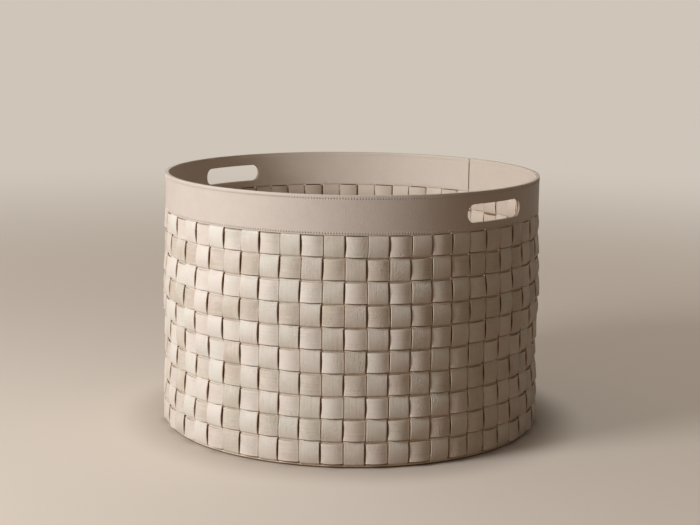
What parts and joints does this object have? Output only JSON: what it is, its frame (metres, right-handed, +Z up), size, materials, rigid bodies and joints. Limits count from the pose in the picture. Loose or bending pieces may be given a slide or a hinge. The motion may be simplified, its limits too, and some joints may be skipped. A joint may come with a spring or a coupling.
{
  "type": "woven leather storage bin",
  "caption": "Round open storage bin woven from flat leather straps, with a smooth leather rim band, two opposite hand slots and a stiff round base.",
  "frame": {"origin": "centre of the round face that the bin stands on", "axes": "+Z up out of the open top; the two hand slots lie on +X and -X; the butt seams of the rim bands are at +Y"},
  "size_m": [0.5162, 0.5161, 0.342],
  "materials": {
    "ivory_leather": "smooth vegetable-look leather straps and bands, soft satin, fine grain",
    "lining_leather": "matte split leather on the base board",
    "thread": "bonded polyester thread, tone on tone",
    "stiffener": "plain sheet strip, hidden between the rim bands, edge painted",
    "base_board": "raw fibreboard"
  },
  "bodies": {
    "root": {"base_board": "base_board", "base_filler": "base_board", "base_lining": "lining_leather", "base_outsole": "ivory_leather", "base_welt": "ivory_leather", "hoop_01": "ivory_leather", "hoop_02": "ivory_leather", "hoop_03": "ivory_leather", "hoop_04": "ivory_leather", "hoop_05": "ivory_leather", "hoop_06": "ivory_leather", "hoop_07": "ivory_leather", "hoop_08": "ivory_leather", "hoop_09": "ivory_leather", "hoop_10": "ivory_leather", "rim_band_inner": "ivory_leather", "rim_band_outer": "ivory_leather", "rim_stiffener": "stiffener", "rim_thread_bottom_inner": "thread", "rim_thread_bottom_outer": "thread", "rim_thread_top_inner": "thread", "rim_thread_top_outer": "thread", "upright_pair_01": "ivory_leather", "upright_pair_02": "ivory_leather", "upright_pair_03": "ivory_leather", "upright_pair_04": "ivory_leather", "upright_pair_05": "ivory_leather", "upright_pair_06": "ivory_leather", "upright_pair_07": "ivory_leather", "upright_pair_08": "ivory_leather", "upright_pair_09": "ivory_leather", "upright_pair_10": "ivory_leather", "upright_pair_11": "ivory_leather", "upright_pair_12": "ivory_leather", "upright_pair_13": "ivory_leather", "upright_pair_14": "ivory_leather", "upright_pair_15": "ivory_leather", "upright_pair_16": "ivory_leather", "upright_pair_17": "ivory_leather", "upright_pair_18": "ivory_leather", "upright_pair_19": "ivory_leather", "upright_pair_20": "ivory_leather", "upright_pair_21": "ivory_leather", "upright_pair_22": "ivory_leather", "upright_pair_23": "ivory_leather", "upright_pair_24": "ivory_leather", "upright_pair_25": "ivory_leather", "upright_pair_26": "ivory_leather", "upright_pair_27": "ivory_leather", "upright_pair_28": "ivory_leather", "upright_pair_29": "ivory_leather"}
  },
  "joints": []
}
